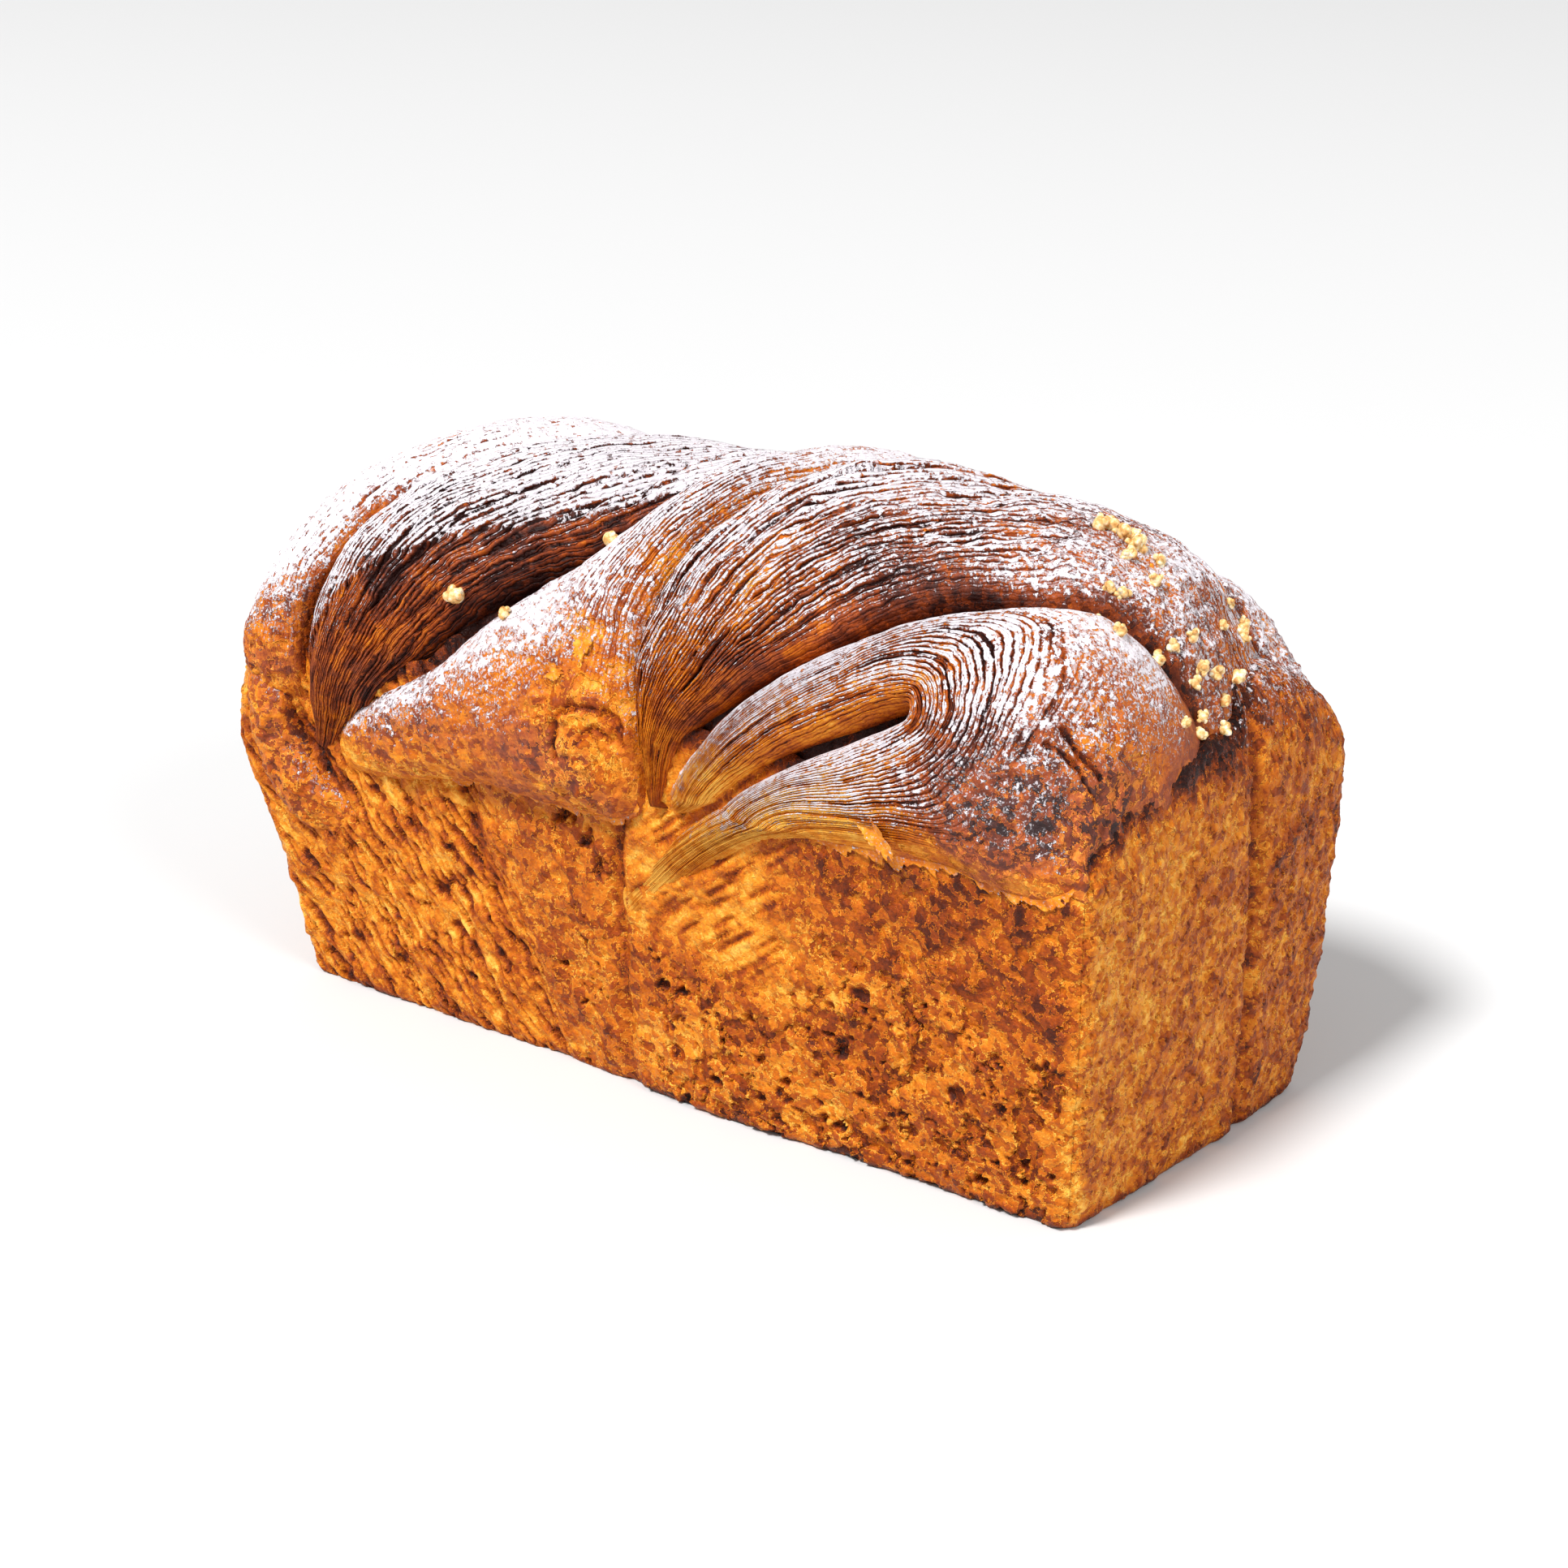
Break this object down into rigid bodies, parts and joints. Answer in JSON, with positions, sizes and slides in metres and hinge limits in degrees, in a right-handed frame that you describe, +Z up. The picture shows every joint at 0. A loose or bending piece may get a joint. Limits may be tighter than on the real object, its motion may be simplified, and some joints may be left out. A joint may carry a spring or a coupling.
{
  "type": "laminated brioche loaf",
  "caption": "Tall tin-baked loaf of laminated brioche, twisted dough lobes with ridged layers over a flat-walled base, dusted with icing sugar and sugar crumbs",
  "frame": {"origin": "middle of the base, under the middle of the whole loaf, on the surface it stands on", "axes": "+X along the loaf, towards the end with the folded roll; +Y to the back long side; +Z up"},
  "size_m": [0.2302, 0.1178, 0.1348],
  "materials": {
    "crust": "baked egg-washed crust, golden on the tin-formed walls and darker brown on top, matt to satin, dusted with icing sugar"
  },
  "bodies": {
    "root": {"loaf": "crust"}
  },
  "joints": []
}
